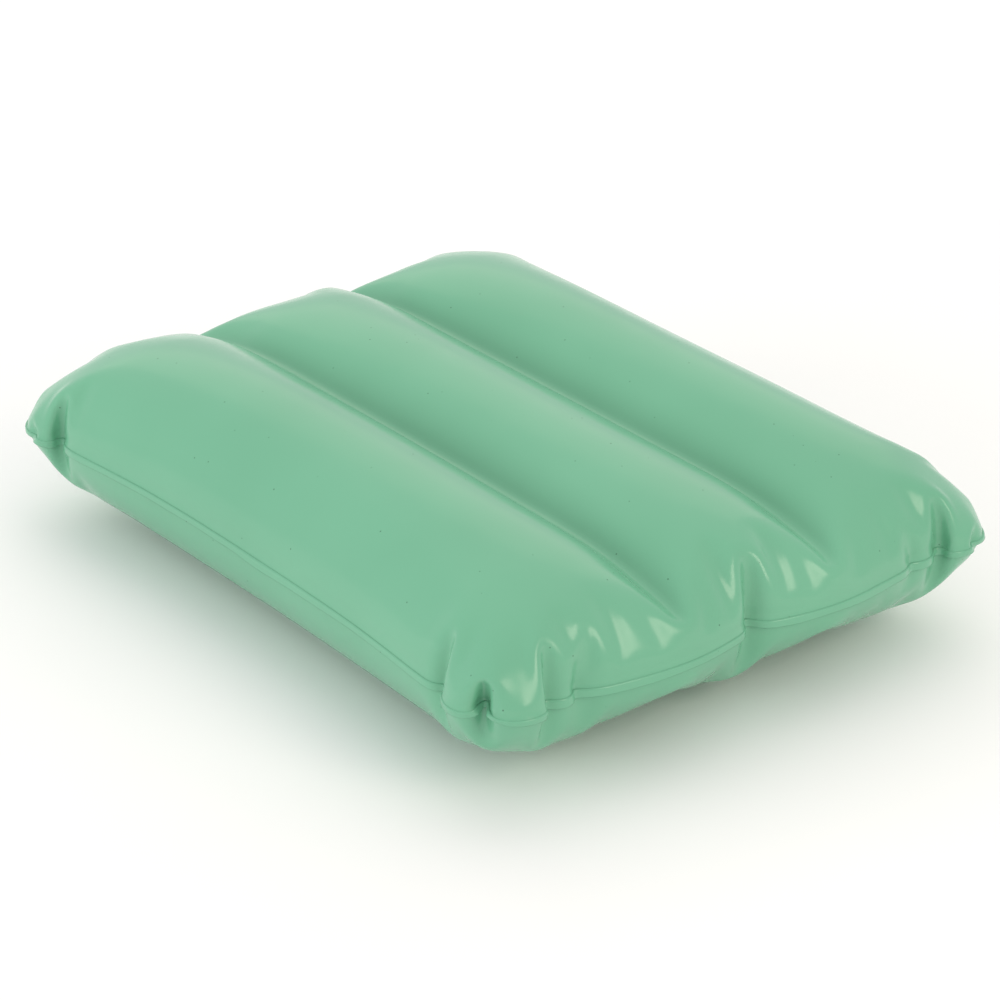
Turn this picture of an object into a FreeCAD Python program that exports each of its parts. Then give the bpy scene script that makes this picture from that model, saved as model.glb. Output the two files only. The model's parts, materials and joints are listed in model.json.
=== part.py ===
"""Inflatable camp pillow: two welded vinyl sheets, two inner beams and a push-in valve.

Millimetres, +Z up. X runs along the three air tubes and Y across them. The origin is the
middle of the pillow's box in X and Y, on the surface that the pillow rests on.
"""
import FreeCAD, Part
import math
import os

V = FreeCAD.Vector

# Inflated pillow, driving dimensions
SEAM_HALF_LENGTH = 210.0     # edge weld, at the middle of a short end
SEAM_HALF_WIDTH = 158.0      # edge weld, at the middle of a long side
CORNER_REACH_Y = 27.0        # how much further out the edge weld stands at the corners
CORNER_REACH_X = 7.0
CORNER_RADIUS = 22.0
TUBE_RISE = 55.4             # an outer tube's crest above the edge weld
MIDDLE_RISE = 52.9           # the middle tube's crest above the edge weld
GROOVE_RISE = 31.7           # floor of the groove between two tubes, above the edge weld
GROOVE_Y = 52.3              # the grooves lie at plus and minus this
WELD_BAND = 5.0              # width of every flat weld
TUBE_CREST_Y = 100.0         # an outer tube's crest line
END_START_X = 115.0          # the tubes start to round off to the ends here
GROOVE_END_X = 135.0         # the groove starts to dip to the ends here
SHEET = 0.4                  # vinyl thickness
FLANGE = 4.0                 # width of the edge weld's flat flange
REST_FLAT = 0.2              # how far the lower tubes are pressed flat where they rest
SEAM_Z = TUBE_RISE + SHEET - REST_FLAT

# Beams: one sheet each, turned over into a tab at the top and at the bottom
BEAM_HALF_LENGTH = 181.0
BEAM = 0.4
BEAM_GAP = 0.3
TAB_EASE = 0.5               # each tab stays this far inside the weld band's edges

# Valve, in the upper sheet at the -X end; lengths along its axis are from the sheet outwards
VALVE_RISE = 18.0            # the valve's centre above the edge weld
PORT_R = 9.3                 # hole in the sheet
DISC_R, DISC = 13.0, 0.6     # weld disc inside the sheet
DISC_GAP = 0.05
DISC_HOLE_R = 8.9
BOOT_R, BOOT = 8.8, 0.6      # thin skirt that lets the stem push in and out
BOOT_DEPTH = 14.0
STEM_R, STEM_BORE_R = 4.75, 3.25
STEM_IN, STEM_OUT = -15.4, 1.6
COLLAR_R, COLLAR = 6.5, 2.0
STEM_CLEARANCE = 0.3
FLAP_R, FLAP = 4.6, 0.4
FLAP_GAP = 0.05
PLUG_TOP_R, PLUG_TIP_R, PLUG_LENGTH = 3.15, 2.75, 8.0
PLUG_HEAD_R, PLUG_HEAD = 6.4, 1.6
PLUG_GAP = 0.1
GRIP_REACH, GRIP_WIDTH, GRIP = 9.2, 6.0, 1.2
STRAP_WIDTH, STRAP = 3.0, 0.7
STRAP_START, STRAP_END = 0.5, 3.2
STRAP_REACH = 12.5
STRAP_GAP = 0.05
EDGE_ROUND = 0.35            # rounded edges of the moulded valve pieces

# Stations of the sheets' curved faces
END_STEPS, MIDDLE_STEPS, LOBE_STEPS, SIDE_STEPS = 12, 10, 7, 12


def quarter(value, start, end):
    """1 up to start, then a quarter of an ellipse down to 0 at end."""
    t = max(0.0, (abs(value) - start) / (end - start))
    return math.sqrt(max(0.0, 1.0 - t * t))


def section(y, inset):
    """Height of the middle cross-section above the edge weld, at a distance from the axis."""
    inner_edge, outer_edge = GROOVE_Y - WELD_BAND / 2, GROOVE_Y + WELD_BAND / 2
    y = abs(y)
    if y <= inner_edge:
        sagitta = MIDDLE_RISE - GROOVE_RISE
        radius = (inner_edge ** 2 + sagitta ** 2) / (2 * sagitta)
        return MIDDLE_RISE - radius + math.sqrt(radius ** 2 - y ** 2)
    if y <= outer_edge:
        return GROOVE_RISE
    if y <= TUBE_CREST_Y:
        chord = TUBE_CREST_Y - outer_edge
        half_axis = chord / math.sqrt(1 - (GROOVE_RISE / TUBE_RISE) ** 2)
        return TUBE_RISE * math.sqrt(1 - ((TUBE_CREST_Y - y) / half_axis) ** 2)
    return TUBE_RISE * quarter(y, TUBE_CREST_Y, SEAM_HALF_WIDTH - inset)


def height(x, y, inset=0.0):
    """Height of a sheet above the edge weld, before the corners are drawn out."""
    end, side = SEAM_HALF_LENGTH - inset, SEAM_HALF_WIDTH - inset
    groove = GROOVE_RISE * quarter(y, GROOVE_Y, side)
    lobe = section(y, inset) - groove
    return groove * quarter(x, GROOVE_END_X, end) + lobe * quarter(x, END_START_X, end)


def plan(x, y, inset=0.0):
    """Where a point of the sheet lies in plan: the corners are rounded and stand further out."""
    end, side = SEAM_HALF_LENGTH - inset, SEAM_HALF_WIDTH - inset
    radius = CORNER_RADIUS - inset
    across = (abs(x) - end + radius) / radius
    along = (abs(y) - side + radius) / radius
    if across > 0 and along > 0:
        x = math.copysign(end - radius + radius * across * math.sqrt(1 - along ** 2 / 2), x)
        y = math.copysign(side - radius + radius * along * math.sqrt(1 - across ** 2 / 2), y)
    past_x = max(0.0, abs(x) - END_START_X) / (SEAM_HALF_LENGTH - END_START_X)
    past_y = max(0.0, abs(y) - GROOVE_Y) / (SEAM_HALF_WIDTH - GROOVE_Y)
    reach_x = CORNER_REACH_X * past_x * (abs(y) / SEAM_HALF_WIDTH) ** 4
    reach_y = CORNER_REACH_Y * past_y * (abs(x) / SEAM_HALF_LENGTH) ** 4
    return x + math.copysign(reach_x, x), y + math.copysign(reach_y, y)


def stations_x(inset):
    end = SEAM_HALF_LENGTH - inset
    half = [END_START_X * i / 5 for i in range(1, 6)]
    half += [END_START_X + (end - END_START_X) * math.sin(math.pi / 2 * i / END_STEPS)
             for i in range(1, END_STEPS + 1)]
    return [-x for x in reversed(half)] + [0.0] + half


def stations_y(inset):
    side = SEAM_HALF_WIDTH - inset
    inner_edge, outer_edge = GROOVE_Y - WELD_BAND / 2, GROOVE_Y + WELD_BAND / 2
    half = [inner_edge * i / MIDDLE_STEPS for i in range(1, MIDDLE_STEPS + 1)]
    half += [inner_edge + WELD_BAND * i / 4 for i in range(1, 4)] + [outer_edge]
    half += [outer_edge + (TUBE_CREST_Y - outer_edge) * i / LOBE_STEPS for i in range(1, LOBE_STEPS + 1)]
    half += [TUBE_CREST_Y + (side - TUBE_CREST_Y) * math.sin(math.pi / 2 * i / SIDE_STEPS)
             for i in range(1, SIDE_STEPS + 1)]
    return [-y for y in reversed(half)] + [0.0] + half


def cubic_knots(poles):
    """Knots and multiplicities of a clamped cubic with this many poles."""
    spans = poles - 3
    return [float(i) for i in range(spans + 1)], [4] + [1] * (spans - 1) + [4]


def cubic_curve(points):
    knots, mults = cubic_knots(len(points))
    curve = Part.BSplineCurve()
    curve.buildFromPolesMultsKnots(points, mults, knots, False, 3)
    return curve


def dome(inset, base_z, up):
    """One curved face, from the edge weld over the tubes; up is 1 or -1."""
    grid = []
    for x in stations_x(inset):
        row = []
        for y in stations_y(inset):
            px, py = plan(x, y, inset)
            row.append(V(px, py, base_z + up * height(x, y, inset)))
        grid.append(row)
    u_knots, u_mults = cubic_knots(len(grid))
    v_knots, v_mults = cubic_knots(len(grid[0]))
    surface = Part.BSplineSurface()
    surface.buildFromPolesMultsKnots(grid, u_mults, v_mults, u_knots, v_knots, False, False, 3, 3)
    return surface.toShape()


def seam_outline(offset, z):
    """The edge weld's outline in plan as one closed wire, offset outwards."""
    xs, ys = stations_x(0), stations_y(0)
    loop = [plan(x, ys[0]) for x in xs[:-1]] + [plan(xs[-1], y) for y in ys[:-1]]
    loop += [plan(x, ys[-1]) for x in reversed(xs[1:])] + [plan(xs[0], y) for y in reversed(ys[1:])]
    points = []
    for i, (x, y) in enumerate(loop):
        before, after = loop[i - 1], loop[(i + 1) % len(loop)]
        tx, ty = after[0] - before[0], after[1] - before[1]
        scale = offset / math.hypot(tx, ty)
        points.append(V(x + ty * scale, y - tx * scale, z))
    curve = Part.BSplineCurve()
    curve.buildFromPolesMultsKnots(points, [1] * (len(points) + 1),
                                   [float(i) for i in range(len(points) + 1)], True, 3)
    return Part.Wire([curve.toShape()])


def sheet(up):
    """One vinyl sheet: an inflated half with its flat flange, and nothing closing its inside."""
    outer = dome(0, SEAM_Z + up * SHEET, up)
    inner = dome(SHEET, SEAM_Z, up)
    rim_low, rim_high = seam_outline(FLANGE, SEAM_Z), seam_outline(FLANGE, SEAM_Z + up * SHEET)
    faces = [
        outer,
        inner,
        Part.Face([rim_high, Part.Wire(Part.__sortEdges__(outer.Edges))]),
        Part.Face([rim_low, Part.Wire(Part.__sortEdges__(inner.Edges))]),
        Part.makeRuledSurface(rim_low.Edges[0], rim_high.Edges[0]),
    ]
    joined = Part.makeCompound(faces)
    joined.sewShape()
    solid = Part.makeSolid(joined.Shells[0])
    if solid.Volume < 0:
        solid.reverse()
    return solid


def valve_frame():
    """The valve's centre on the upper sheet's outside, and the direction out of the pillow."""
    low, high = END_START_X, SEAM_HALF_LENGTH
    for _ in range(60):
        middle = (low + high) / 2
        low, high = (middle, high) if height(middle, 0) > VALVE_RISE else (low, middle)
    step = 0.5
    slope = (height(low - step, 0) - height(low + step, 0)) / (2 * step)
    axis = V(-slope, 0, 1).normalize()
    return V(-low, 0, SEAM_Z + SHEET + VALVE_RISE), axis


VALVE_AT, VALVE_AXIS = valve_frame()


def on_valve(shape):
    """Moves a shape made along +Z at the origin to the valve."""
    turn = FreeCAD.Rotation(V(0, 0, 1), VALVE_AXIS)
    shape.Placement = FreeCAD.Placement(VALVE_AT, turn).multiply(shape.Placement)
    return shape


def tube(outer_r, inner_r, low, high):
    """A ring along Z, or a disc where inner_r is 0."""
    body = Part.makeCylinder(outer_r, high - low, V(0, 0, low))
    if inner_r > 0:
        body = body.cut(Part.makeCylinder(inner_r, high - low + 2, V(0, 0, low - 1)))
    return body


def soften(body, low, high, radius):
    """Rounds the round edges of this radius that lie between two heights."""
    edges = [e for e in body.Edges if e.Curve.TypeId == "Part::GeomCircle"
             and abs(e.Curve.Radius - radius) < 1e-6 and low <= e.CenterOfMass.z <= high]
    return body.makeFillet(EDGE_ROUND, edges)


def upper_sheet():
    port = on_valve(Part.makeCylinder(PORT_R, 2 * PORT_R, V(0, 0, -PORT_R)))
    return sheet(1).cut(port)


def lower_sheet():
    reach = 2 * SEAM_HALF_LENGTH + 100
    below = Part.makeBox(reach, reach, 20, V(-reach / 2, -reach / 2, -20))
    return sheet(-1).cut(below)


def beam(side):
    """A web between a groove above and the groove below it, with a weld tab along each."""
    xs = [x for x in stations_x(0) if abs(x) < BEAM_HALF_LENGTH]

    def edge(up, depth):
        return [V(x, 0, SEAM_Z + up * (height(x, GROOVE_Y) - BEAM_GAP - depth)) for x in xs]

    def strip(top, bottom, low_y, high_y):
        top_edge, bottom_edge = cubic_curve(top).toShape(), cubic_curve(bottom).toShape()
        ends = [Part.makeLine(top[0], bottom[0]), Part.makeLine(top[-1], bottom[-1])]
        outline = Part.Face(Part.Wire(Part.__sortEdges__([top_edge, bottom_edge] + ends)))
        outline.translate(V(0, low_y, 0))
        return outline.extrude(V(0, high_y - low_y, 0))

    middle = side * GROOVE_Y
    web = strip(edge(1, BEAM / 2), edge(-1, BEAM / 2), middle - BEAM / 2, middle + BEAM / 2)
    reach = WELD_BAND / 2 - TAB_EASE
    tabs = [strip(edge(up, 0), edge(up, BEAM), middle - reach, middle + reach) for up in (1, -1)]
    return web.fuse(tabs).removeSplitter()


def valve_disc():
    """Weld disc that follows the inside of the upper sheet."""
    inside = dome(SHEET + DISC_GAP, SEAM_Z - DISC_GAP, 1)
    column = on_valve(tube(DISC_R, DISC_HOLE_R, -8, 8))
    patch = inside.common(column)
    return Part.Solid(patch.Faces[0].extrude(VALVE_AXIS * -DISC))


def valve_boot():
    skirt = tube(BOOT_R, BOOT_R - BOOT, -BOOT_DEPTH, -0.4)
    floor = tube(BOOT_R - BOOT / 2, STEM_R + STEM_CLEARANCE, -BOOT_DEPTH, -BOOT_DEPTH + BOOT)
    return on_valve(skirt.fuse(floor).removeSplitter())


def valve_stem():
    body = tube(STEM_R, STEM_BORE_R, STEM_IN, STEM_OUT)
    collar = tube(COLLAR_R, STEM_BORE_R, STEM_OUT - COLLAR, STEM_OUT)
    body = body.fuse(collar).removeSplitter()
    return on_valve(soften(body, STEM_OUT - COLLAR, STEM_OUT, COLLAR_R))


def check_flap():
    high = STEM_IN - FLAP_GAP
    return on_valve(tube(FLAP_R, 0, high - FLAP, high))


def valve_plug():
    low = STEM_OUT + PLUG_GAP
    cone = Part.makeCone(PLUG_TIP_R, PLUG_TOP_R, PLUG_LENGTH, V(0, 0, low - PLUG_LENGTH))
    head = soften(tube(PLUG_HEAD_R, 0, low, low + PLUG_HEAD), low, low + PLUG_HEAD, PLUG_HEAD_R)
    end = GRIP_REACH - GRIP_WIDTH / 2
    grip = Part.makeBox(end, GRIP_WIDTH, GRIP, V(0, -GRIP_WIDTH / 2, 0))
    grip = grip.fuse(Part.makeCylinder(GRIP_WIDTH / 2, GRIP, V(end, 0, 0)))
    grip.translate(V(0, 0, low + (PLUG_HEAD - GRIP) / 2))
    return on_valve(cone.fuse([head, grip]).removeSplitter())


def plug_strap():
    """Strip that keeps the plug on the stem: out from the collar, round, and back to the plug."""
    root = COLLAR_R + STRAP_GAP
    middle = (STRAP_START + STRAP_END) / 2
    outer_r = (STRAP_END - STRAP_START) / 2

    def hairpin(radius):
        low, high = V(STRAP_REACH, 0, middle - radius), V(STRAP_REACH, 0, middle + radius)
        return low, high, Part.Arc(low, V(STRAP_REACH + radius, 0, middle), high).toShape()

    out_low, out_high, outside = hairpin(outer_r)
    in_low, in_high, inside = hairpin(outer_r - STRAP)
    corners = [[V(root, 0, p.z) for p in pair] for pair in ((out_low, in_low), (out_high, in_high))]
    lines = [Part.makeLine(out_low, corners[0][0]), Part.makeLine(corners[0][0], corners[0][1]),
             Part.makeLine(corners[0][1], in_low), Part.makeLine(out_high, corners[1][0]),
             Part.makeLine(corners[1][0], corners[1][1]), Part.makeLine(corners[1][1], in_high)]
    outline = Part.Wire(Part.__sortEdges__([outside, inside] + lines))
    strip = Part.Face(outline).extrude(V(0, STRAP_WIDTH, 0))
    strip.translate(V(0, -STRAP_WIDTH / 2, 0))
    strip.rotate(V(0, 0, 0), V(0, 0, 1), 180)
    return on_valve(strip)


NODES = {
    "upper_sheet": upper_sheet,
    "lower_sheet": lower_sheet,
    "beam_left": lambda: beam(-1),
    "beam_right": lambda: beam(1),
    "valve_disc": valve_disc,
    "valve_boot": valve_boot,
    "valve_stem": valve_stem,
    "check_flap": check_flap,
    "valve_plug": valve_plug,
    "plug_strap": plug_strap,
}

os.makedirs("parts", exist_ok=True)
for name, make in NODES.items():
    shape = make()
    shape.exportStep(f"parts/{name}.step")
    box = shape.optimalBoundingBox(False, False)
    print(name, shape.isValid(), len(shape.Solids), round(shape.Volume, 1),
          [round(v, 2) for v in (box.XMin, box.YMin, box.ZMin, box.XMax, box.YMax, box.ZMax)])
print("valve at", VALVE_AT, "axis", VALVE_AXIS)
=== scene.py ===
import bmesh
import bpy
import json
import numpy as np
from math import cos, pi, radians, sin
from mathutils import Matrix, Vector


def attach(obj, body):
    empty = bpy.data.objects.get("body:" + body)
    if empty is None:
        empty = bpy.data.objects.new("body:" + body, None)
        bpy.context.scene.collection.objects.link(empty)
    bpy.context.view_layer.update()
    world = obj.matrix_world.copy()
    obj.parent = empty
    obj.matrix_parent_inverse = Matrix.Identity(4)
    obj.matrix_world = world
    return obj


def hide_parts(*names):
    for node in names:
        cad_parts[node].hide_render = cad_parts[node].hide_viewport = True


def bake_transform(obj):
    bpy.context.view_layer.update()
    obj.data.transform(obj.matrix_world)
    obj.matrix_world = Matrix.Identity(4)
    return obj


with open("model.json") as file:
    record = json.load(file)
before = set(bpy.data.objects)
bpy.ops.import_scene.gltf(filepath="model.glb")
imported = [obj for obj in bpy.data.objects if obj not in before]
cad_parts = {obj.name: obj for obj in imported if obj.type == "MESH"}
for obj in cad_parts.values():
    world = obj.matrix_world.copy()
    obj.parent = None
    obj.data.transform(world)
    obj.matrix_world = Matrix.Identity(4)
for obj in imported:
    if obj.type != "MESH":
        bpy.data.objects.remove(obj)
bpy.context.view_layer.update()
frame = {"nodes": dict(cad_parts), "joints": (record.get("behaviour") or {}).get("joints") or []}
MM = 0.001

# ---------------------------------------------------------------- sizes, millimetres
FLAT_L, FLAT_W, FLAT_R = 466.0, 399.0, 50.0     # the weld line on the cut: along the tubes, across, corner arc
FLANGE = 4.6                                    # the free edge outside it
VINYL = 0.4                                     # thickness
WELD_GROOVE = 0.45                              # depth of the pressed line just above the weld
WEB_Y, WEB_X, WEB_H = 55.9, 198.5, 63.8         # the inner webs: place, half-length, height
TAPER, TAPER_X = 19.0, 130.0                    # how much lower they are at their ends, and from where
BAND = 4.4                                      # width of a web's weld
PORT_R, CUT_R = 9.3, 8.2                        # the valve's hole, and how near its middle faces are taken out
PORT_HELD = 13.0                                # the flat round patch that the valve keeps in the sheet
PORT_EDGE = 20.0                                # from the end's weld to the valve, along the cut

# The valve's centre on the sheet's outside, the way out of the pillow along its axis, and up the sheet
VALVE_AT = np.array([-205.095, 0.0, 74.0])
VALVE_AXIS = np.array(next(j["axis"] for j in frame["joints"] if j["name"] == "valve_push"))
VALVE_UP = np.array([VALVE_AXIS[2], 0.0, -VALVE_AXIS[0]])

# The inflation, on the two rough grids and on the fine one: PUSH is the air's, and BEND and SOFT are the shares
# of a bend and of a shortened thread that are put right each time
ROUGH_BEND, ROUGH_SOFT = 0.05, 0.3
FINE_PUSH, FINE_BEND, FINE_SOFT = 0.02, 0.25, 0.35
FINE_STEPS, DRAW_STEPS = 400, 150               # steps on the fine grid, and how many draw the pinches in
KEPT_SPEED = 0.95                               # share of its speed that a vertex keeps from step to step
EVEN_X, EVEN_FADE = 158.0, 30.0                 # half-length over which the tubes are evened out, and its fade

# Pinches along the weld: place on the cut, how far each is drawn in and down, millimetres
PINCHES = [
    (230.7, -136.5, 1.5, 0.0), (230.7, -121.4, 8.0, 0.0), (230.7, 0.0, 5.5, 0.0),
    (230.7, 119.0, 5.0, 0.0), (230.7, 151.0, 3.0, 0.0), (211.0, -188.0, 16.0, -3.0),
    (165.0, -198.0, 4.0, 0.0), (-181.0, -198.0, 5.0, 0.0), (214.0, 187.0, 1.0, 0.0),
    (169.0, 198.0, 6.0, 0.0), (-172.0, 198.0, 7.0, 0.0), (-212.0, 187.0, 12.0, 0.0),
    (-200.0, -192.0, 2.0, 0.0), (-230.7, -131.0, 7.0, 0.0), (-230.7, -55.0, 5.0, 0.0),
    (-230.7, 52.0, 4.0, 0.0), (-230.7, 124.0, 8.0, 0.0),
]

# Creases that run up and down from a pinch: its number in the list above, counted from 0, then for the upper
# and for the lower sheet how far it runs and how deep it is, and how much the fold closes
CREASES = [
    (5, (26.0, 2.2), (24.0, 1.8), 0.6), (1, (46.0, 1.3), (24.0, 0.9), 0.5),
    (2, (34.0, 0.9), (26.0, 0.8), 0.4), (6, (30.0, 0.8), (16.0, 0.6), 0.4),
    (11, (26.0, 2.0), (24.0, 1.6), 0.6), (13, (36.0, 1.0), (20.0, 0.8), 0.4),
    (16, (40.0, 1.2), (22.0, 0.8), 0.4), (3, (36.0, 0.9), (22.0, 0.7), 0.4),
    (7, (26.0, 0.8), (16.0, 0.6), 0.4), (10, (30.0, 0.9), (18.0, 0.6), 0.4),
]
CREASE_WIDTH, CREASE_NEAR, CREASE_SHUT = 2.6, 15.0, 7.0     # half-width; how far out and aside the fold closes

# ---------------------------------------------------------------- geometry helpers


def by_valve(up, side, out):
    """A place near the valve."""
    return VALVE_AT + VALVE_UP * up + np.array([0, side, 0]) + VALVE_AXIS * out


def unit(v):
    return v / (np.linalg.norm(v, axis=-1, keepdims=True) + 1e-9)


def corner_sums(p, scale):
    """At each vertex of a grid, the sum of its cells' normals, each 2 * scale times as long as its area."""
    a, b, c, d = p[..., :-1, :-1, :], p[..., 1:, :-1, :], p[..., 1:, 1:, :], p[..., :-1, 1:, :]
    n = np.cross(c - a, d - b) * scale
    out = np.zeros_like(p)
    out[..., :-1, :-1, :] += n
    out[..., 1:, :-1, :] += n
    out[..., 1:, 1:, :] += n
    out[..., :-1, 1:, :] += n
    return out


def normals(p, sign):
    return unit(corner_sums(p, sign))


def weld(p):
    """Joins the two sheets' edges."""
    for k in (0, -1):
        p[:, k] = p[:, k].mean(0)
        p[:, :, k] = p[:, :, k].mean(0)


def grid_lines(half, fixed, near, far, zone):
    """Grid lines over half the cut and its mirror image, through each fixed place.

    They are near apart within zone of the edge, and far apart inside.
    """
    marks = sorted({0.0, half - zone, half} | set(fixed))
    out = [0.0]
    for a, b in zip(marks[:-1], marks[1:]):
        n = max(1, round((b - a) / (near if a >= half - zone - 1e-6 else far)))
        out += [a + (b - a) * k / n for k in range(1, n + 1)]
    return np.array([-v for v in out[:0:-1]] + out)


def flat_grid(xs, ys):
    """The grid on the cut, with its corners rounded."""
    x, y = np.meshgrid(xs, ys, indexing="ij")
    ax = np.clip((np.abs(x) - FLAT_L / 2 + FLAT_R) / FLAT_R, 0, 1)
    ay = np.clip((np.abs(y) - FLAT_W / 2 + FLAT_R) / FLAT_R, 0, 1)
    corner = (ax > 0) & (ay > 0)
    xr = np.sign(x) * (FLAT_L / 2 - FLAT_R + FLAT_R * ax * np.sqrt(1 - ay ** 2 / 2))
    yr = np.sign(y) * (FLAT_W / 2 - FLAT_R + FLAT_R * ay * np.sqrt(1 - ax ** 2 / 2))
    return np.stack([np.where(corner, xr, x), np.where(corner, yr, y)], -1)


def pairs(n, step):
    """Slices of pairs step apart, in sets that share no vertex."""
    out = []
    for o in range(2 * step):
        m = (n - o - step + 2 * step - 1) // (2 * step)
        if m > 0:
            last = o + 2 * step * (m - 1) + 1
            out.append((slice(o, last, 2 * step), slice(o + step, last + step, 2 * step)))
    return out


class Pillow:
    """Two vinyl sheets joined at their edges and tied by two webs, blown up by air between them.

    Its points p are numbered by sheet (0 upper, 1 lower), then by place on the cut's grid.
    """

    def __init__(self, near, far):
        self.xs = grid_lines(FLAT_L / 2, [WEB_X], near, far, 66.0)
        self.ys = grid_lines(FLAT_W / 2, [WEB_Y - BAND / 2, WEB_Y + BAND / 2], near, far, 60.0)
        self.flat = flat_grid(self.xs, self.ys).astype(np.float32)
        nx, ny = self.shape = self.flat.shape[:2]
        full, low, high = slice(None), slice(0, ny - 1), slice(1, ny)
        self.threads = [self.tie((a, full), (b, full)) for a, b in pairs(nx, 1)]
        self.threads += [self.tie((full, a), (full, b)) for a, b in pairs(ny, 1)]
        for a, b in pairs(nx, 1):
            self.threads += [self.tie((a, low), (b, high)), self.tie((a, high), (b, low))]
        self.bends = [self.tie((a, full), (b, full)) for a, b in pairs(nx, 2)]
        self.bends += [self.tie((full, a), (full, b)) for a, b in pairs(ny, 2)]
        inside = np.flatnonzero(np.abs(self.xs) <= WEB_X + 1e-3)
        self.web_i = slice(inside[0], inside[-1] + 1)
        self.web_j = [int(np.abs(self.ys - s * WEB_Y - e * BAND / 2).argmin())
                      for s in (-1, 1) for e in (-1, 1)]
        past = np.clip((np.abs(self.xs[self.web_i]) - TAPER_X) / (WEB_X - TAPER_X), 0, 1)
        self.web_h = (WEB_H - TAPER * past ** 1.5).astype(np.float32)
        self.p = np.zeros((2, nx, ny, 3), np.float32)
        self.p[..., :2] = self.flat
        self.p[0, 1:-1, 1:-1, 2] = 1
        self.p[1, 1:-1, 1:-1, 2] = -1
        self.v = np.zeros_like(self.p)
        self.cell = FLAT_L * FLAT_W / (nx * ny)

    def tie(self, a, b):
        """Threads between two sets of vertices, with their lengths on the cut."""
        length = np.linalg.norm(self.flat[b] - self.flat[a], axis=-1)
        return (slice(None),) + a, (slice(None),) + b, length

    def push(self):
        """The air's push on each vertex."""
        out = corner_sums(self.p, 1 / 8)
        out[1] *= -1
        rim = out[0] + out[1]
        for k in (0, -1):
            out[:, k] = rim[k]
            out[:, :, k] = rim[:, k]
        return out

    def step(self, push, bend, soft, hold=None):
        """Moves the sheets by their speed and the air, then pulls every thread, web and weld right again."""
        before = self.p.copy()
        self.p += self.v * KEPT_SPEED + push * self.push() / self.cell
        p = self.p
        for last in (False, False, False, True):
            for a, b, length in self.threads:
                d = p[b] - p[a]
                now = np.sqrt((d * d).sum(-1)) + 1e-9
                q = (now - length) / now * 0.5
                d *= np.where(q < 0, q * soft, q)[..., None]
                p[a] += d
                p[b] -= d
            for j in self.web_j:
                top, low = p[0, self.web_i, j], p[1, self.web_i, j]
                d = low - top
                now = np.sqrt((d * d).sum(-1)) + 1e-9
                d *= (np.maximum(now - self.web_h, 0) / now * 0.5)[..., None]
                top += d
                low -= d
            for a, b, length in self.bends if last else ():
                d = p[b] - p[a]
                now = np.sqrt((d * d).sum(-1)) + 1e-9
                d *= (np.minimum(now - length, 0) / now * 0.5 * bend)[..., None]
                p[a] += d
                p[b] -= d
            weld(p)
            if hold:
                hold(p)
        self.v = p - before

    def take(self, other):
        """Starts from a coarser pillow's shape."""
        values = other.p
        for axis, old, new in ((1, other.xs, self.xs), (2, other.ys, self.ys)):
            i = np.clip(np.searchsorted(old, new) - 1, 0, len(old) - 2)
            t = ((new - old[i]) / (old[i + 1] - old[i])).astype(np.float32)
            t = t.reshape([-1 if k == axis else 1 for k in range(4)])
            values = np.take(values, i, axis) * (1 - t) + np.take(values, i + 1, axis) * t
        self.p = np.ascontiguousarray(values)
        self.v = np.zeros_like(self.p)


class Pinches:
    """Holds the weld in where it has folded on itself."""

    def __init__(self, pillow):
        nx, ny = pillow.shape
        edge = np.zeros((nx, ny), bool)
        edge[0] = edge[-1] = True
        edge[:, 0] = edge[:, -1] = True
        rim = np.argwhere(edge)
        self.marks = []
        for x, y, depth, drop in PINCHES:
            far = np.linalg.norm(pillow.flat[edge] - [x, y], axis=-1)
            i, j = rim[far.argmin()]
            out = np.array([x if abs(x) > 200 else 0, y if abs(y) > 180 else 0])
            if out.all():                       # in a corner
                out = np.sign(out)
            out = np.append(out / np.linalg.norm(out), 0).astype(np.float32)
            self.marks.append((i, j, out, depth, drop, pillow.p[0, i, j] @ out, pillow.p[0, i, j, 2]))

    def hold(self, p, share):
        """Keeps each pinch in by this share of its depth."""
        for i, j, out, depth, drop, reach, height in self.marks:
            over = p[0, i, j] @ out - (reach - depth * share)
            if over > 0:
                p[:, i, j] -= over * out
            if drop:
                p[:, i, j, 2] = height - drop * share


def crease(p, i, j, out, sizes, close):
    """Sharpens a pinch: its sides close up, and a valley between two low ridges runs up and down from it."""
    at = p[0, i, j].copy()
    across = np.array([-out[1], out[0], 0.0])
    for k, (reach, depth) in enumerate(sizes):
        d = p[k] - at
        u = d @ across
        far = np.linalg.norm(d, axis=-1)
        shut = close * np.exp(-(u / CREASE_SHUT) ** 2 - (far / CREASE_NEAR) ** 2)
        u_now = u * (1 - shut)
        p[k] -= (u * shut)[..., None] * across
        a = np.abs(u_now) / CREASE_WIDTH
        form = 0.3 * np.exp(-(a - 2.1) ** 2) - np.exp(-a ** 2)
        fade = np.clip(1 - far / reach, 0, 1)
        p[k] += (depth * form * fade)[..., None] * normals(p[k], 1 if k == 0 else -1)
    p[1, i, j] = p[0, i, j]
    weld(p)


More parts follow.
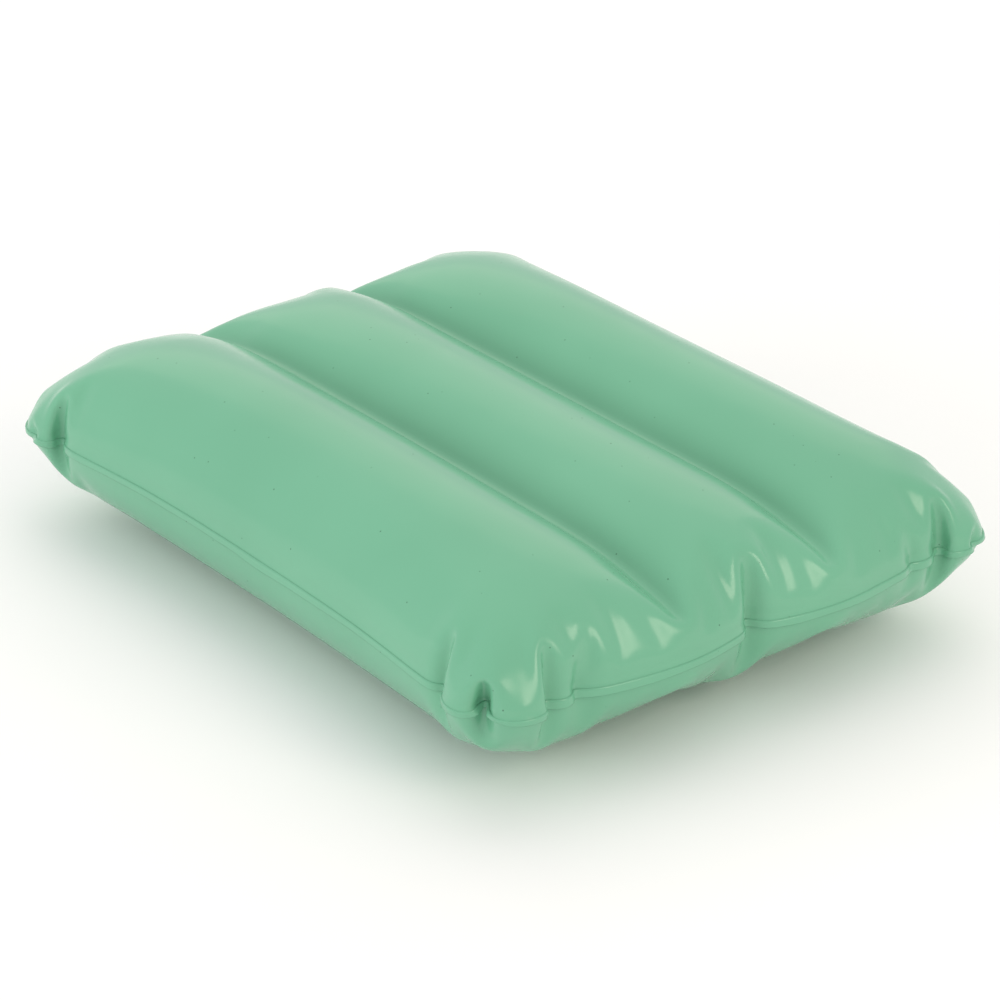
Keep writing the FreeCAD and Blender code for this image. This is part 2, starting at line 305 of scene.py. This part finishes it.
def inflate():
    """Blows the pillow up on a coarse grid and on two finer ones, and sculpts its creases."""
    coarse = Pillow(10, 12)
    for push, steps in ((0.2, 100), (0.1, 250)):
        for _ in range(steps):
            coarse.step(push, ROUGH_BEND, ROUGH_SOFT)
    mid = Pillow(5, 7)
    mid.take(coarse)
    for _ in range(150):
        mid.step(0.08, ROUGH_BEND, ROUGH_SOFT)
    fine = Pillow(3.1, 4.6)
    fine.take(mid)
    aside = fine.flat - [PORT_EDGE - FLAT_L / 2, 0]
    port = np.hypot(aside[..., 0], aside[..., 1]) < PORT_HELD
    patch = aside[port][:, :1] * VALVE_UP + aside[port][:, 1:] * np.array([0, 1.0, 0])
    middle = (fine.p[..., 0].max() + fine.p[..., 0].min()) / 2
    pinches = Pinches(fine)

    def hold(p, share):
        p[0][port] = VALVE_AT + [middle, 0, p[1, ..., 2].min()] + patch
        pinches.hold(p, share)

    for k in range(FINE_STEPS):
        fine.step(FINE_PUSH, FINE_BEND, FINE_SOFT, lambda p: hold(p, min(1, k / DRAW_STEPS)))
    p = fine.p.astype(float)
    even = np.clip((EVEN_X - np.abs(fine.xs[1:-1])) / EVEN_FADE, 0, 1)[None, :, None, None]
    for _ in range(30):
        p[:, 1:-1, :, 1:] += even * (p[:, :-2, :, 1:] + p[:, 2:, :, 1:] - 2 * p[:, 1:-1, :, 1:]) / 4
    low = p[1]
    for _ in range(3):
        around = low[:-2, 1:-1] + low[2:, 1:-1] + low[1:-1, :-2] + low[1:-1, 2:]
        low[1:-1, 1:-1] += 0.5 * (around / 4 - low[1:-1, 1:-1])
    for number, above, below, close in CREASES:
        crease(p, *pinches.marks[number][:3], (above, below), close)
    p -= [(p[..., 0].max() + p[..., 0].min()) / 2, (p[..., 1].max() + p[..., 1].min()) / 2, p[..., 2].min()]
    return fine, p


pillow, shape = inflate()

# ---------------------------------------------------------------- mesh helpers


def mesh_object(name, points, faces, smooth=True):
    mesh = bpy.data.meshes.new(name)
    mesh.from_pydata([tuple(v) for v in points], [], faces)
    mesh.validate()
    obj = bpy.data.objects.new(name, mesh)
    bpy.context.collection.objects.link(obj)
    if smooth:
        mesh.shade_smooth()
    return obj


def applied(obj, *modifiers):
    """Puts the modifiers' result in the mesh."""
    for kind, settings in modifiers:
        m = obj.modifiers.new(kind, kind)
        for key, value in settings.items():
            setattr(m, key, value)
    depsgraph = bpy.context.evaluated_depsgraph_get()
    mesh = bpy.data.meshes.new_from_object(obj.evaluated_get(depsgraph))
    obj.modifiers.clear()
    obj.data = mesh
    mesh.shade_smooth()
    return obj


def edited(obj, change):
    """Changes an object's mesh as a bmesh."""
    bm = bmesh.new()
    bm.from_mesh(obj.data)
    change(bm)
    bm.to_mesh(obj.data)
    bm.free()
    return obj


# ---------------------------------------------------------------- sheets, flange and webs
INWARD = 5                                      # how many vertices inward the flange's fold is measured along


def rim_loop(nx, ny):
    """The edge's vertices in order round the cut, each with the next ones inward."""
    loop = [(i, 0, 0, 1) for i in range(nx - 1)]
    loop += [(nx - 1, j, -1, 0) for j in range(ny - 1)]
    loop += [(i, ny - 1, 0, -1) for i in range(nx - 1, 0, -1)]
    loop += [(0, j, 1, 0) for j in range(ny - 1, 0, -1)]
    out = []
    for i, j, di, dj in loop:
        if i in (0, nx - 1) and j in (0, ny - 1):
            di, dj = (1 if i == 0 else -1), (1 if j == 0 else -1)
        out.append([(i + k * di, j + k * dj) for k in range(INWARD)])
    return np.array(out)


LOOP = rim_loop(*pillow.shape)


def rounded(values, times):
    """Evens out values round the loop."""
    for _ in range(times):
        values = (np.roll(values, 1, 0) + 2 * values + np.roll(values, -1, 0)) / 4
    return values


def flange_rings():
    """The free edge, folded down over the lower sheet: its middle line's points, ring by ring from the weld."""
    chain = shape[1][LOOP[..., 0], LOOP[..., 1]]
    face = normals(shape[1], -1)[LOOP[..., 0], LOOP[..., 1]]
    lengths = np.linalg.norm(np.diff(chain, axis=1), axis=-1)
    total = np.concatenate([np.zeros((len(LOOP), 1)), np.cumsum(lengths, 1)], 1)
    random = np.random.default_rng(5)
    wave = rounded(random.normal(0, 1, len(LOOP)), 6) * 2.2
    r = np.arange(len(LOOP))
    rings = []
    for share in (0.2, 0.48, 0.74, 1.0):
        t = share * (FLANGE + 0.45 * np.clip(wave, -1.5, 1.5))
        k = np.clip((total <= t[:, None]).sum(1) - 1, 0, INWARD - 2)
        f = ((t - total[r, k]) / lengths[r, k])[:, None]
        at = chain[r, k] * (1 - f) + chain[r, k + 1] * f
        n = unit(face[r, k] * (1 - f) + face[r, k + 1] * f)
        stand = (0.75 + 0.45 * share ** 2 + 0.3 * share * np.clip(wave, -0.6, 2))[:, None]
        rings.append(chain[:, 0] + rounded(at + n * stand - chain[:, 0], 4))
    return rings


RINGS = flange_rings()
ROW = tuple(LOOP[:, 1].T)
shape[0][ROW] -= WELD_GROOVE * normals(shape[0], 1)[ROW]


def cut_port(points, faces):
    """Opens the valve's hole: takes out the faces over it, and draws its rim to a circle."""
    d = points - VALVE_AT
    r = np.hypot(d @ VALVE_UP, d[:, 1])
    gone = (r < CUT_R) & (np.abs(d @ VALVE_AXIS) < 6)
    faces = [f for f in faces if not any(gone[v] for v in f)]
    uses = {}
    for f in faces:
        for edge in map(frozenset, zip(f, f[1:] + f[:1])):
            uses[edge] = uses.get(edge, 0) + 1
    for v in {v for edge, count in uses.items() if count == 1 for v in edge if r[v] < PORT_HELD + 2}:
        u = np.array([d[v] @ VALVE_UP, d[v][1]])
        points[v] = by_valve(*u * PORT_R / np.linalg.norm(u), 0)
    return faces


def sheet(name, k, port):
    """One vinyl sheet, 0 the upper and 1 the lower, with its share of the flange."""
    nx, ny = pillow.shape
    index = np.arange(nx * ny).reshape(nx, ny)
    faces = []
    for i in range(nx - 1):
        for j in range(ny - 1):
            faces.append([index[i, j], index[i + 1, j], index[i + 1, j + 1], index[i, j + 1]])
    points = np.concatenate([shape[k].reshape(-1, 3), *RINGS])
    ring = index[LOOP[:, 0, 0], LOOP[:, 0, 1]]
    n = len(ring)
    for number in range(len(RINGS)):
        new = nx * ny + number * n + np.arange(n)
        for m in range(n):
            faces.append([ring[m], new[m], new[(m + 1) % n], ring[(m + 1) % n]])
        ring = new
    if port:
        faces = cut_port(points, faces)
    faces = [[int(v) for v in (f if k == 0 else f[::-1])] for f in faces]
    obj = edited(mesh_object(name, points * MM, faces), lambda bm: bmesh.ops.delete(
        bm, geom=[v for v in bm.verts if not v.link_faces], context="VERTS"))
    return applied(obj, ("SUBSURF", {"levels": 1, "render_levels": 1}),
                   ("SOLIDIFY", {"thickness": VINYL * MM, "offset": -1.0}))


upper = sheet("upper_vinyl", 0, port=True)
lower = sheet("lower_vinyl", 1, port=False)


def web(name, first):
    """An inner web from sheet to sheet, slack where the groove fades out. Each weld has two grid lines."""
    side = -1 if first == 0 else 1
    line, next_line = pillow.web_j[first:first + 2]
    top, low = ((half[pillow.web_i, line] + half[pillow.web_i, next_line]) / 2 for half in shape)
    rows, in_welds, gap = 9, 1.2, 0.008         # points on its height, height in the welds, share left free
    points, faces = [], []
    for m, (u, v) in enumerate(zip(top, low)):
        span = np.linalg.norm(v - u)
        slack = max(pillow.web_h[m] - in_welds - span, 0)
        sag = np.sqrt(slack * span * 3 / 8)     # rise of a shallow arc that is longer than its span by slack
        for r in range(rows):
            f = gap + (1 - 2 * gap) * r / (rows - 1)
            points.append(u * (1 - f) + v * f + np.array([0, side * sag * 4 * f * (1 - f), 0]))
    for m in range(len(top) - 1):
        for r in range(rows - 1):
            a, b = m * rows + r, (m + 1) * rows + r
            faces.append([a, a + 1, b + 1, b])
    obj = mesh_object(name, np.array(points) * MM, faces)
    return applied(obj, ("SOLIDIFY", {"thickness": VINYL * MM, "offset": 0.0}))


web_left = web("web_left", 0)
web_right = web("web_right", 2)

# ---------------------------------------------------------------- valve pieces, with lengths out along its axis


def closed_loops(name, loops, ring):
    """A piece through closed outlines, joined end to start where ring is true and capped where it isn't."""
    n, count = len(loops[0]), len(loops)
    faces = []
    for k in range(count if ring else count - 1):
        here, there = k * n, (k + 1) % count * n
        for m in range(n):
            after = (m + 1) % n
            faces.append([here + m, here + after, there + after, there + m])
    if not ring:
        faces += [list(range(n)), list(range((count - 1) * n, count * n))]
    obj = mesh_object(name, np.concatenate(loops) * MM, faces)
    return edited(obj, lambda bm: bmesh.ops.recalc_face_normals(bm, faces=bm.faces))


def lathe(name, outline, turns=120):
    """A round piece about the valve's axis, from its closed outline of radius and place along the axis."""
    loops = []
    for k in range(turns):
        a = 2 * pi * k / turns
        loops.append(np.array([by_valve(r * cos(a), r * sin(a), out) for r, out in outline]))
    return closed_loops(name, loops, True)


def weld_ring():
    """The disc under the sheet that the valve is welded by, with two raised weld lines and round edges."""
    inner_r, outer_r, top, thick, lip, dish = 8.9, 12.4, -0.46, 0.56, 0.14, 0.28
    low = top - thick
    outline = [(inner_r + lip, top), (inner_r, top - lip), (inner_r, low + lip), (inner_r + lip, low)]
    for r in (9.9, 11.3):
        outline += [(r - 0.4, low), (r - 0.2, low - 0.16), (r + 0.2, low - 0.16), (r + 0.4, low)]
    outline += [(outer_r - lip, low), (outer_r, low + lip), (outer_r, top - lip), (outer_r - lip, top)]
    outline += [(r, top) for r in (11.6, 10.8, 10.1)]
    return lathe("weld_ring", [(r, out - dish * max(0, r - 9.6) ** 2) for r, out in outline])


def boot_skirt():
    """The thin bell between the weld disc and the stem, which turns over when the stem is drawn out."""
    steps, top, depth, top_r, low_r, half = 26, -0.5, 13.1, 8.5, 5.25, 0.24
    middle = []
    for k in range(steps + 1):
        t = k / steps
        middle.append((top_r - (top_r - low_r) * t ** 1.6 + 0.07 * sin(6 * pi * t), top - depth * t))
    outline = [(r + half, out) for r, out in middle] + [(r - half, out) for r, out in middle[::-1]]
    return lathe("boot_skirt", outline)


def keeper_strap():
    """The strip that keeps the plug on the stem: out from the collar, round, and back to the plug."""
    start_r, reach, low, high, width, thick = 6.35, 12.5, 0.85, 2.85, 3.0, 0.68
    bend = (high - low) / 2
    # Each place on the path: how far down from the axis, how far out, and which way its outer face looks
    path = [(start_r + (reach - start_r) * k / 8, low, 0, 1) for k in range(8)]
    for k in range(13):
        a = pi * k / 12
        path.append((reach + bend * sin(a), low + bend - bend * cos(a), -sin(a), cos(a)))
    path += [(reach - (reach - start_r) * k / 8, high, 0, -1) for k in range(1, 9)]
    loops = []
    for down, out, face_down, face_out in path:
        wide = width / 2 + 0.7 * max(0, 1 - (down - start_r) / 2.2) ** 2
        loop = []
        for k in range(16):
            a = 2 * pi * (k + 0.5) / 16
            across = wide * np.sign(cos(a)) * abs(cos(a)) ** 0.35
            through = thick / 2 * np.sign(sin(a)) * abs(sin(a)) ** 0.5
            loop.append(by_valve(-(down + face_down * through), across, out + face_out * through))
        loops.append(np.array(loop))
    return closed_loops("keeper_strap", loops, False)


ring = weld_ring()
boot = boot_skirt()
strap = keeper_strap()

# ---------------------------------------------------------------- materials
VINYL_IOR = 1.5


class Nodes:
    """Short names for building a node material."""

    def __init__(self, name):
        self.material = bpy.data.materials.new(name)
        self.material.use_nodes = True
        self.tree = self.material.node_tree
        self.shader = self.tree.nodes["Principled BSDF"]
        self.place = self.tree.nodes.new("ShaderNodeTexCoord").outputs["Object"]

    def add(self, kind, settings=(), **links):
        node = self.tree.nodes.new(kind)
        for key, value in dict(settings).items():
            if hasattr(node, key):
                setattr(node, key, value)
            else:
                node.inputs[key].default_value = value
        for key, value in links.items():
            self.tree.links.new(value, node.inputs[key.replace("_", " ")])
        return node

    def noise(self, scale, detail):
        settings = {"Scale": scale, "Detail": detail, "Roughness": 0.5}
        return self.add("ShaderNodeTexNoise", settings, Vector=self.place).outputs["Fac"]

    def ramp(self, fac, stops):
        node = self.add("ShaderNodeValToRGB", Fac=fac)
        band = node.color_ramp
        while len(band.elements) < len(stops):
            band.elements.new(0.5)
        for e, (at, colour) in zip(band.elements, stops):
            e.position = at
            e.color = (*colour, 1)
        return node.outputs["Color"]

    def scalar(self, fac, stops):
        return self.ramp(fac, [(at, (v, v, v)) for at, v in stops])

    def link(self, value, socket):
        self.tree.links.new(value, self.shader.inputs[socket])

    def bump(self, height, strength, distance):
        node = self.add("ShaderNodeBump", {"Strength": strength, "Distance": distance}, Height=height)
        return node.outputs["Normal"]


def colour(r, g, b):
    """An sRGB colour as linear numbers."""
    return tuple(((c / 255 + 0.055) / 1.055) ** 2.4 if c > 10 else c / 255 / 12.92 for c in (r, g, b))


def vinyl(name, base, edge, rough):
    """Smooth sheet vinyl, with a slightly uneven tone and gloss and a few specks of dust."""
    m = Nodes(name)
    tone = m.ramp(m.noise(9.0, 2.0), [(0.3, colour(*base)), (0.7, colour(*edge))])
    near = m.add("ShaderNodeTexVoronoi", {"Scale": 90.0}, Vector=m.place).outputs["Distance"]
    dust = m.scalar(near, [(0.02, 0.4), (0.05, 1.0)])
    dusty = m.add("ShaderNodeMixRGB", {"blend_type": "MULTIPLY", "Fac": 1.0}, Color1=tone, Color2=dust)
    m.link(dusty.outputs["Color"], "Base Color")
    m.link(m.scalar(m.noise(60.0, 3.0), [(0.3, rough - 0.03), (0.7, rough + 0.04)]), "Roughness")
    m.link(m.bump(m.noise(45.0, 2.0), 0.25, 0.0006), "Normal")
    m.shader.inputs["IOR"].default_value = VINYL_IOR
    return m.material


skin = vinyl("skin_vinyl", (106, 171, 138), (111, 176, 143), 0.2)
inner = vinyl("beam_vinyl", (150, 205, 175), (158, 210, 182), 0.4)


def moulded(name, deep, pale, rough, grain):
    """Moulded flexible vinyl: cloudy tone, fine grain and a slightly uneven gloss."""
    m = Nodes(name)
    m.link(m.ramp(m.noise(420.0, 4.0), [(0.3, colour(*deep)), (0.7, colour(*pale))]), "Base Color")
    m.link(m.scalar(m.noise(900.0, 2.0), [(0.3, rough - 0.05), (0.7, rough + 0.06)]), "Roughness")
    m.link(m.bump(m.noise(2600.0, 3.0), grain, 0.00008), "Normal")
    m.shader.inputs["IOR"].default_value = VINYL_IOR
    return m.material


clear = moulded("valve_vinyl", (160, 196, 178), (180, 209, 193), 0.26, 0.35)
film = moulded("flap_vinyl", (186, 210, 198), (204, 222, 212), 0.34, 0.2)
stopper = moulded("plug_vinyl", (176, 199, 187), (193, 212, 201), 0.3, 0.5)


def finish_piece(obj, material, body, node):
    """A piece that rides one body in place of a CAD node."""
    obj.data.materials.append(material)
    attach(obj, body)
    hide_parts(node)


finish_piece(upper, skin, "root", "upper_sheet")
finish_piece(lower, skin, "root", "lower_sheet")
finish_piece(web_left, inner, "root", "beam_left")
finish_piece(web_right, inner, "root", "beam_right")
finish_piece(ring, clear, "root", "valve_disc")

# The boot and the strap, each with the bodies it joins and its ends from start to end out along the valve's
# axis, then its material, slot and CAD node; the bodies, ends and slot are not used, and both pieces stay fixed
# where they are built
for obj, a, b, start, end, material, slot, node in (
        (boot, "root", "stem", -0.6, -13.4, clear, "valve_vinyl", "valve_boot"),
        (strap, "stem", "plug", 1.2, 2.5, stopper, "plug_vinyl", "plug_strap")):
    obj.data.materials.append(material)
    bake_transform(obj)
    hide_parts(node)

# The valve's moving parts keep their CAD meshes
for node, material in (("valve_stem", clear), ("check_flap", film), ("valve_plug", stopper)):
    obj = frame["nodes"][node]
    obj.data.materials.clear()
    obj.data.materials.append(material)

# ---------------------------------------------------------------- floor, light, camera, metres
EDGE = 6.0
corners = [(-EDGE, -EDGE, 0), (EDGE, -EDGE, 0), (EDGE, EDGE, 0), (-EDGE, EDGE, 0)]
floor = mesh_object("floor", corners, [(0, 1, 2, 3)], smooth=False)
floor_look = Nodes("floor_look")
floor_look.link(floor_look.scalar(floor_look.noise(3.0, 2.0), [(0.3, 0.90), (0.7, 0.92)]), "Base Color")
floor_look.shader.inputs["Roughness"].default_value = 0.9
floor.data.materials.append(floor_look.material)

world = bpy.data.worlds.new("studio")
bpy.context.scene.world = world
world.use_nodes = True
background = world.node_tree.nodes["Background"]
background.inputs["Color"].default_value = (1, 1, 1, 1)
background.inputs["Strength"].default_value = 0.8


def softbox(name, place, size, power, tint, gloss=True):
    """A rectangular light that points at the pillow. Without gloss, the vinyl doesn't mirror it."""
    light = bpy.data.lights.new(name, "AREA")
    light.shape = "RECTANGLE"
    light.size, light.size_y = size
    light.energy = power
    light.color = tint
    obj = bpy.data.objects.new(name, light)
    bpy.context.collection.objects.link(obj)
    obj.location = place
    obj.rotation_euler = (Vector((0, 0, 0.05)) - Vector(place)).to_track_quat("-Z", "Y").to_euler()
    obj.visible_glossy = gloss


softbox("overhead", (-1.2, 0.9, 2.0), (3.0, 3.0), 20, (1, 0.95, 0.9), gloss=False)
softbox("backdrop", (-1.7, 1.35, 1.3), (2.6, 1.4), 4, (1, 0.95, 0.72))
softbox("side", (1.39, 0.24, 0.78), (0.5, 0.9), 5.5, (1, 0.9, 0.74))
softbox("low", (-0.6, -2.2, 0.75), (2.6, 0.8), 19, (1, 0.97, 0.94), gloss=False)

AZ, EL, ROLL, FAR = radians(50.88), radians(28.0), radians(1.57), 1.7993
SENSOR, WIDTHS = 36, 1.8254                     # millimetres, and how many frame widths a metre at FAR takes up
back = Vector((sin(AZ) * cos(EL), -cos(AZ) * cos(EL), sin(EL)))
camera = bpy.data.objects.new("camera", bpy.data.cameras.new("camera"))
bpy.context.collection.objects.link(camera)
camera.data.sensor_width = SENSOR
camera.data.lens = WIDTHS * FAR * SENSOR
camera.data.shift_x = 0.00883
camera.data.shift_y = 0.06586
aim = (-back).to_track_quat("-Z", "Y").to_matrix().to_4x4()
camera.matrix_world = Matrix.Translation(back * FAR) @ aim @ Matrix.Rotation(ROLL, 4, "Z")
bpy.context.scene.camera = camera
bpy.context.scene.view_settings.view_transform = "Standard"
